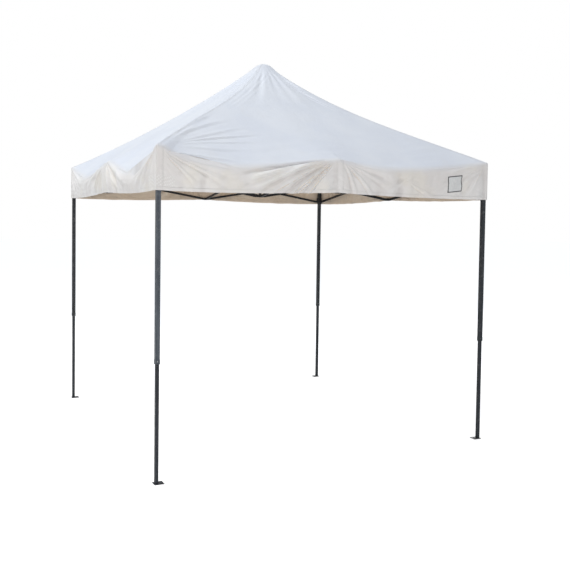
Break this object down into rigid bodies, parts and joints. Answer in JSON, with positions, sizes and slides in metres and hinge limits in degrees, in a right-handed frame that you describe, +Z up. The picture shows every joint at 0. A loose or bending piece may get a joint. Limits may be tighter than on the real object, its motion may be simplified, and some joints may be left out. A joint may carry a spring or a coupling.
{
  "type": "pop up gazebo",
  "caption": "Folding canopy shelter: a scissor frame on telescopic square legs with flat feet, sliders and hubs, under a pyramid fabric roof with a hanging valance.",
  "frame": {"origin": "on the ground under the middle of the frame", "axes": "+Z up, front side faces -Y, +X to the right of someone who faces the front side"},
  "size_m": [2.9556, 2.966, 3.336],
  "materials": {
    "canvas": "coated woven polyester, matt",
    "leg_steel": "blue-grey hammered powder coat, satin",
    "inner_leg_steel": "near-black powder coat, satin",
    "bar_steel": "near-black powder coat, satin",
    "connector_plastic": "moulded black nylon, fine grain",
    "button_plastic": "moulded grey nylon",
    "button_steel": "plated steel"
  },
  "bodies": {
    "upper_hub": {"upper_hub": "connector_plastic", "canopy": "canvas"},
    "front_upper_roof_bar": {"front_upper_roof_bar": "bar_steel"},
    "front_lower_mid_block": {"front_lower_mid_block": "connector_plastic"},
    "front_lower_roof_bar": {"front_lower_roof_bar": "bar_steel"},
    "front_upper_mid_block": {"front_upper_mid_block": "connector_plastic"},
    "lower_hub": {"lower_hub": "connector_plastic", "peak_pole": "bar_steel"},
    "front_left_bracket_bar": {"front_left_bracket_bar": "bar_steel"},
    "front_left_slider_bar": {"front_left_slider_bar": "bar_steel"},
    "front_left_upper_leg": {"front_left_upper_leg": "leg_steel", "front_left_corner_bracket": "connector_plastic"},
    "front_left_slider": {"front_left_slider": "connector_plastic"},
    "front_right_bracket_bar": {"front_right_bracket_bar": "bar_steel"},
    "front_right_slider_bar": {"front_right_slider_bar": "bar_steel"},
    "right_upper_roof_bar": {"right_upper_roof_bar": "bar_steel"},
    "right_lower_mid_block": {"right_lower_mid_block": "connector_plastic"},
    "right_lower_roof_bar": {"right_lower_roof_bar": "bar_steel"},
    "right_upper_mid_block": {"right_upper_mid_block": "connector_plastic"},
    "right_front_bracket_bar": {"right_front_bracket_bar": "bar_steel"},
    "right_front_slider_bar": {"right_front_slider_bar": "bar_steel"},
    "front_right_upper_leg": {"front_right_upper_leg": "leg_steel", "front_right_corner_bracket": "connector_plastic"},
    "front_right_slider": {"front_right_slider": "connector_plastic"},
    "right_back_bracket_bar": {"right_back_bracket_bar": "bar_steel"},
    "right_back_slider_bar": {"right_back_slider_bar": "bar_steel"},
    "back_upper_roof_bar": {"back_upper_roof_bar": "bar_steel"},
    "back_lower_mid_block": {"back_lower_mid_block": "connector_plastic"},
    "back_lower_roof_bar": {"back_lower_roof_bar": "bar_steel"},
    "back_upper_mid_block": {"back_upper_mid_block": "connector_plastic"},
    "back_right_bracket_bar": {"back_right_bracket_bar": "bar_steel"},
    "back_right_slider_bar": {"back_right_slider_bar": "bar_steel"},
    "back_right_upper_leg": {"back_right_upper_leg": "leg_steel", "back_right_corner_bracket": "connector_plastic"},
    "back_right_slider": {"back_right_slider": "connector_plastic"},
    "back_left_bracket_bar": {"back_left_bracket_bar": "bar_steel"},
    "back_left_slider_bar": {"back_left_slider_bar": "bar_steel"},
    "left_upper_roof_bar": {"left_upper_roof_bar": "bar_steel"},
    "left_lower_mid_block": {"left_lower_mid_block": "connector_plastic"},
    "left_lower_roof_bar": {"left_lower_roof_bar": "bar_steel"},
    "left_upper_mid_block": {"left_upper_mid_block": "connector_plastic"},
    "left_back_bracket_bar": {"left_back_bracket_bar": "bar_steel"},
    "left_back_slider_bar": {"left_back_slider_bar": "bar_steel"},
    "back_left_upper_leg": {"back_left_upper_leg": "leg_steel", "back_left_corner_bracket": "connector_plastic"},
    "back_left_slider": {"back_left_slider": "connector_plastic"},
    "left_front_bracket_bar": {"left_front_bracket_bar": "bar_steel"},
    "left_front_slider_bar": {"left_front_slider_bar": "bar_steel"},
    "front_left_lower_leg": {"front_left_lower_leg": "inner_leg_steel"},
    "front_left_leg_button": {"front_left_leg_button": "button_steel"},
    "front_left_slider_button": {"front_left_slider_button": "button_plastic"},
    "front_right_lower_leg": {"front_right_lower_leg": "inner_leg_steel"},
    "front_right_leg_button": {"front_right_leg_button": "button_steel"},
    "front_right_slider_button": {"front_right_slider_button": "button_plastic"},
    "back_right_lower_leg": {"back_right_lower_leg": "inner_leg_steel"},
    "back_right_leg_button": {"back_right_leg_button": "button_steel"},
    "back_right_slider_button": {"back_right_slider_button": "button_plastic"},
    "back_left_lower_leg": {"back_left_lower_leg": "inner_leg_steel"},
    "back_left_leg_button": {"back_left_leg_button": "button_steel"},
    "back_left_slider_button": {"back_left_slider_button": "button_plastic"}
  },
  "joints": [
    {"name": "fold", "type": "hinge", "parent": "upper_hub", "child": "front_upper_roof_bar", "pos_m": [0.007, -0.05, 2.342], "axis": [1, 0, 0], "range_deg": [0, 78]},
    {"name": "front_lower_mid_block_pivot", "type": "hinge", "parent": "front_upper_roof_bar", "child": "front_lower_mid_block", "pos_m": [0.007, -1.422, 2.112], "axis": [1, 0, 0], "range_deg": [-78, 0]},
    {"name": "front_lower_roof_bar_cross", "type": "hinge", "parent": "front_upper_roof_bar", "child": "front_lower_roof_bar", "pos_m": [0, -0.736, 2.227], "axis": [1, 0, 0], "range_deg": [-156, 0]},
    {"name": "front_upper_mid_block_pivot", "type": "hinge", "parent": "front_lower_roof_bar", "child": "front_upper_mid_block", "pos_m": [-0.007, -1.422, 2.342], "axis": [1, 0, 0], "range_deg": [0, 78]},
    {"name": "lower_hub_pivot", "type": "hinge", "parent": "front_lower_roof_bar", "child": "lower_hub", "pos_m": [-0.007, -0.05, 2.112], "axis": [1, 0, 0], "range_deg": [0, 78]},
    {"name": "front_left_bracket_bar_fold", "type": "hinge", "parent": "front_lower_mid_block", "child": "front_left_bracket_bar", "pos_m": [-0.028, -1.462, 2.112], "axis": [0, 1, 0], "range_deg": [0, 78]},
    {"name": "front_left_slider_bar_cross", "type": "hinge", "parent": "front_left_bracket_bar", "child": "front_left_slider_bar", "pos_m": [-0.714, -1.455, 2.227], "axis": [0, 1, 0], "range_deg": [-156, 0]},
    {"name": "front_left_bracket_pivot", "type": "hinge", "parent": "front_left_bracket_bar", "child": "front_left_upper_leg", "pos_m": [-1.4, -1.462, 2.342], "axis": [0, 1, 0], "range_deg": [-78, 0]},
    {"name": "front_left_slider_pivot", "type": "hinge", "parent": "front_left_slider_bar", "child": "front_left_slider", "pos_m": [-1.4, -1.448, 2.112], "axis": [0, 1, 0], "range_deg": [0, 78]},
    {"name": "front_right_bracket_bar_fold", "type": "hinge", "parent": "front_lower_mid_block", "child": "front_right_bracket_bar", "pos_m": [0.028, -1.448, 2.112], "axis": [0, 1, 0], "range_deg": [-78, 0]},
    {"name": "front_right_slider_bar_cross", "type": "hinge", "parent": "front_right_bracket_bar", "child": "front_right_slider_bar", "pos_m": [0.714, -1.455, 2.227], "axis": [0, 1, 0], "range_deg": [0, 156]},
    {"name": "right_upper_roof_bar_fold", "type": "hinge", "parent": "upper_hub", "child": "right_upper_roof_bar", "pos_m": [0.05, 0.007, 2.342], "axis": [0, 1, 0], "range_deg": [0, 78]},
    {"name": "right_lower_mid_block_pivot", "type": "hinge", "parent": "right_upper_roof_bar", "child": "right_lower_mid_block", "pos_m": [1.422, 0.007, 2.112], "axis": [0, 1, 0], "range_deg": [-78, 0]},
    {"name": "right_lower_roof_bar_cross", "type": "hinge", "parent": "right_upper_roof_bar", "child": "right_lower_roof_bar", "pos_m": [0.736, 0, 2.227], "axis": [0, 1, 0], "range_deg": [-156, 0]},
    {"name": "right_upper_mid_block_pivot", "type": "hinge", "parent": "right_lower_roof_bar", "child": "right_upper_mid_block", "pos_m": [1.422, -0.007, 2.342], "axis": [0, 1, 0], "range_deg": [0, 78]},
    {"name": "right_front_bracket_bar_fold", "type": "hinge", "parent": "right_lower_mid_block", "child": "right_front_bracket_bar", "pos_m": [1.462, -0.028, 2.112], "axis": [-1, 0, 0], "range_deg": [0, 78]},
    {"name": "right_front_slider_bar_cross", "type": "hinge", "parent": "right_front_bracket_bar", "child": "right_front_slider_bar", "pos_m": [1.455, -0.714, 2.227], "axis": [-1, 0, 0], "range_deg": [-156, 0]},
    {"name": "front_right_bracket_pivot", "type": "hinge", "parent": "right_front_bracket_bar", "child": "front_right_upper_leg", "pos_m": [1.462, -1.4, 2.342], "axis": [-1, 0, 0], "range_deg": [-78, 0]},
    {"name": "front_right_slider_pivot", "type": "hinge", "parent": "right_front_slider_bar", "child": "front_right_slider", "pos_m": [1.448, -1.4, 2.112], "axis": [-1, 0, 0], "range_deg": [0, 78]},
    {"name": "right_back_bracket_bar_fold", "type": "hinge", "parent": "right_lower_mid_block", "child": "right_back_bracket_bar", "pos_m": [1.448, 0.028, 2.112], "axis": [-1, 0, 0], "range_deg": [-78, 0]},
    {"name": "right_back_slider_bar_cross", "type": "hinge", "parent": "right_back_bracket_bar", "child": "right_back_slider_bar", "pos_m": [1.455, 0.714, 2.227], "axis": [-1, 0, 0], "range_deg": [0, 156]},
    {"name": "back_upper_roof_bar_fold", "type": "hinge", "parent": "upper_hub", "child": "back_upper_roof_bar", "pos_m": [-0.007, 0.05, 2.342], "axis": [-1, 0, 0], "range_deg": [0, 78]},
    {"name": "back_lower_mid_block_pivot", "type": "hinge", "parent": "back_upper_roof_bar", "child": "back_lower_mid_block", "pos_m": [-0.007, 1.422, 2.112], "axis": [-1, 0, 0], "range_deg": [-78, 0]},
    {"name": "back_lower_roof_bar_cross", "type": "hinge", "parent": "back_upper_roof_bar", "child": "back_lower_roof_bar", "pos_m": [0, 0.736, 2.227], "axis": [-1, 0, 0], "range_deg": [-156, 0]},
    {"name": "back_upper_mid_block_pivot", "type": "hinge", "parent": "back_lower_roof_bar", "child": "back_upper_mid_block", "pos_m": [0.007, 1.422, 2.342], "axis": [-1, 0, 0], "range_deg": [0, 78]},
    {"name": "back_right_bracket_bar_fold", "type": "hinge", "parent": "back_lower_mid_block", "child": "back_right_bracket_bar", "pos_m": [0.028, 1.462, 2.112], "axis": [0, -1, 0], "range_deg": [0, 78]},
    {"name": "back_right_slider_bar_cross", "type": "hinge", "parent": "back_right_bracket_bar", "child": "back_right_slider_bar", "pos_m": [0.714, 1.455, 2.227], "axis": [0, -1, 0], "range_deg": [-156, 0]},
    {"name": "back_right_bracket_pivot", "type": "hinge", "parent": "back_right_bracket_bar", "child": "back_right_upper_leg", "pos_m": [1.4, 1.462, 2.342], "axis": [0, -1, 0], "range_deg": [-78, 0]},
    {"name": "back_right_slider_pivot", "type": "hinge", "parent": "back_right_slider_bar", "child": "back_right_slider", "pos_m": [1.4, 1.448, 2.112], "axis": [0, -1, 0], "range_deg": [0, 78]},
    {"name": "back_left_bracket_bar_fold", "type": "hinge", "parent": "back_lower_mid_block", "child": "back_left_bracket_bar", "pos_m": [-0.028, 1.448, 2.112], "axis": [0, -1, 0], "range_deg": [-78, 0]},
    {"name": "back_left_slider_bar_cross", "type": "hinge", "parent": "back_left_bracket_bar", "child": "back_left_slider_bar", "pos_m": [-0.714, 1.455, 2.227], "axis": [0, -1, 0], "range_deg": [0, 156]},
    {"name": "left_upper_roof_bar_fold", "type": "hinge", "parent": "upper_hub", "child": "left_upper_roof_bar", "pos_m": [-0.05, -0.007, 2.342], "axis": [0, -1, 0], "range_deg": [0, 78]},
    {"name": "left_lower_mid_block_pivot", "type": "hinge", "parent": "left_upper_roof_bar", "child": "left_lower_mid_block", "pos_m": [-1.422, -0.007, 2.112], "axis": [0, -1, 0], "range_deg": [-78, 0]},
    {"name": "left_lower_roof_bar_cross", "type": "hinge", "parent": "left_upper_roof_bar", "child": "left_lower_roof_bar", "pos_m": [-0.736, 0, 2.227], "axis": [0, -1, 0], "range_deg": [-156, 0]},
    {"name": "left_upper_mid_block_pivot", "type": "hinge", "parent": "left_lower_roof_bar", "child": "left_upper_mid_block", "pos_m": [-1.422, 0.007, 2.342], "axis": [0, -1, 0], "range_deg": [0, 78]},
    {"name": "left_back_bracket_bar_fold", "type": "hinge", "parent": "left_lower_mid_block", "child": "left_back_bracket_bar", "pos_m": [-1.462, 0.028, 2.112], "axis": [1, 0, 0], "range_deg": [0, 78]},
    {"name": "left_back_slider_bar_cross", "type": "hinge", "parent": "left_back_bracket_bar", "child": "left_back_slider_bar", "pos_m": [-1.455, 0.714, 2.227], "axis": [1, 0, 0], "range_deg": [-156, 0]},
    {"name": "back_left_bracket_pivot", "type": "hinge", "parent": "left_back_bracket_bar", "child": "back_left_upper_leg", "pos_m": [-1.462, 1.4, 2.342], "axis": [1, 0, 0], "range_deg": [-78, 0]},
    {"name": "back_left_slider_pivot", "type": "hinge", "parent": "left_back_slider_bar", "child": "back_left_slider", "pos_m": [-1.448, 1.4, 2.112], "axis": [1, 0, 0], "range_deg": [0, 78]},
    {"name": "left_front_bracket_bar_fold", "type": "hinge", "parent": "left_lower_mid_block", "child": "left_front_bracket_bar", "pos_m": [-1.448, -0.028, 2.112], "axis": [1, 0, 0], "range_deg": [-78, 0]},
    {"name": "left_front_slider_bar_cross", "type": "hinge", "parent": "left_front_bracket_bar", "child": "left_front_slider_bar", "pos_m": [-1.455, -0.714, 2.227], "axis": [1, 0, 0], "range_deg": [0, 156]},
    {"name": "front_left_leg_slide", "type": "slide", "parent": "front_left_upper_leg", "child": "front_left_lower_leg", "axis": [0, 0, 1], "range_m": [0, 0.82]},
    {"name": "front_left_leg_button_press", "type": "slide", "parent": "front_left_lower_leg", "child": "front_left_leg_button", "axis": [0, 1, 0], "range_m": [0, 0.005], "stiffness_N_per_m": 400},
    {"name": "front_left_slider_button_press", "type": "slide", "parent": "front_left_slider", "child": "front_left_slider_button", "axis": [-1, 0, 0], "range_m": [0, 0.005], "stiffness_N_per_m": 400},
    {"name": "front_right_leg_slide", "type": "slide", "parent": "front_right_upper_leg", "child": "front_right_lower_leg", "axis": [0, 0, 1], "range_m": [0, 0.82]},
    {"name": "front_right_leg_button_press", "type": "slide", "parent": "front_right_lower_leg", "child": "front_right_leg_button", "axis": [0, 1, 0], "range_m": [0, 0.005], "stiffness_N_per_m": 400},
    {"name": "front_right_slider_button_press", "type": "slide", "parent": "front_right_slider", "child": "front_right_slider_button", "axis": [0, -1, 0], "range_m": [0, 0.005], "stiffness_N_per_m": 400},
    {"name": "back_right_leg_slide", "type": "slide", "parent": "back_right_upper_leg", "child": "back_right_lower_leg", "axis": [0, 0, 1], "range_m": [0, 0.82]},
    {"name": "back_right_leg_button_press", "type": "slide", "parent": "back_right_lower_leg", "child": "back_right_leg_button", "axis": [0, -1, 0], "range_m": [0, 0.005], "stiffness_N_per_m": 400},
    {"name": "back_right_slider_button_press", "type": "slide", "parent": "back_right_slider", "child": "back_right_slider_button", "axis": [1, 0, 0], "range_m": [0, 0.005], "stiffness_N_per_m": 400},
    {"name": "back_left_leg_slide", "type": "slide", "parent": "back_left_upper_leg", "child": "back_left_lower_leg", "axis": [0, 0, 1], "range_m": [0, 0.82]},
    {"name": "back_left_leg_button_press", "type": "slide", "parent": "back_left_lower_leg", "child": "back_left_leg_button", "axis": [0, -1, 0], "range_m": [0, 0.005], "stiffness_N_per_m": 400},
    {"name": "back_left_slider_button_press", "type": "slide", "parent": "back_left_slider", "child": "back_left_slider_button", "axis": [0, 1, 0], "range_m": [0, 0.005], "stiffness_N_per_m": 400}
  ],
  "couplings": [
    {"joint": "front_lower_mid_block_pivot", "follows": "fold", "ratio": -1},
    {"joint": "front_lower_roof_bar_cross", "follows": "fold", "ratio": -2},
    {"joint": "front_upper_mid_block_pivot", "follows": "fold", "ratio": 1},
    {"joint": "lower_hub_pivot", "follows": "fold", "ratio": 1},
    {"joint": "front_left_bracket_bar_fold", "follows": "fold", "ratio": 1},
    {"joint": "front_left_slider_bar_cross", "follows": "fold", "ratio": -2},
    {"joint": "front_left_bracket_pivot", "follows": "fold", "ratio": -1},
    {"joint": "front_left_slider_pivot", "follows": "fold", "ratio": 1},
    {"joint": "front_right_bracket_bar_fold", "follows": "fold", "ratio": -1},
    {"joint": "front_right_slider_bar_cross", "follows": "fold", "ratio": 2},
    {"joint": "right_upper_roof_bar_fold", "follows": "fold", "ratio": 1},
    {"joint": "right_lower_mid_block_pivot", "follows": "fold", "ratio": -1},
    {"joint": "right_lower_roof_bar_cross", "follows": "fold", "ratio": -2},
    {"joint": "right_upper_mid_block_pivot", "follows": "fold", "ratio": 1},
    {"joint": "right_front_bracket_bar_fold", "follows": "fold", "ratio": 1},
    {"joint": "right_front_slider_bar_cross", "follows": "fold", "ratio": -2},
    {"joint": "front_right_bracket_pivot", "follows": "fold", "ratio": -1},
    {"joint": "front_right_slider_pivot", "follows": "fold", "ratio": 1},
    {"joint": "right_back_bracket_bar_fold", "follows": "fold", "ratio": -1},
    {"joint": "right_back_slider_bar_cross", "follows": "fold", "ratio": 2},
    {"joint": "back_upper_roof_bar_fold", "follows": "fold", "ratio": 1},
    {"joint": "back_lower_mid_block_pivot", "follows": "fold", "ratio": -1},
    {"joint": "back_lower_roof_bar_cross", "follows": "fold", "ratio": -2},
    {"joint": "back_upper_mid_block_pivot", "follows": "fold", "ratio": 1},
    {"joint": "back_right_bracket_bar_fold", "follows": "fold", "ratio": 1},
    {"joint": "back_right_slider_bar_cross", "follows": "fold", "ratio": -2},
    {"joint": "back_right_bracket_pivot", "follows": "fold", "ratio": -1},
    {"joint": "back_right_slider_pivot", "follows": "fold", "ratio": 1},
    {"joint": "back_left_bracket_bar_fold", "follows": "fold", "ratio": -1},
    {"joint": "back_left_slider_bar_cross", "follows": "fold", "ratio": 2},
    {"joint": "left_upper_roof_bar_fold", "follows": "fold", "ratio": 1},
    {"joint": "left_lower_mid_block_pivot", "follows": "fold", "ratio": -1},
    {"joint": "left_lower_roof_bar_cross", "follows": "fold", "ratio": -2},
    {"joint": "left_upper_mid_block_pivot", "follows": "fold", "ratio": 1},
    {"joint": "left_back_bracket_bar_fold", "follows": "fold", "ratio": 1},
    {"joint": "left_back_slider_bar_cross", "follows": "fold", "ratio": -2},
    {"joint": "back_left_bracket_pivot", "follows": "fold", "ratio": -1},
    {"joint": "back_left_slider_pivot", "follows": "fold", "ratio": 1},
    {"joint": "left_front_bracket_bar_fold", "follows": "fold", "ratio": -1},
    {"joint": "left_front_slider_bar_cross", "follows": "fold", "ratio": 2}
  ]
}
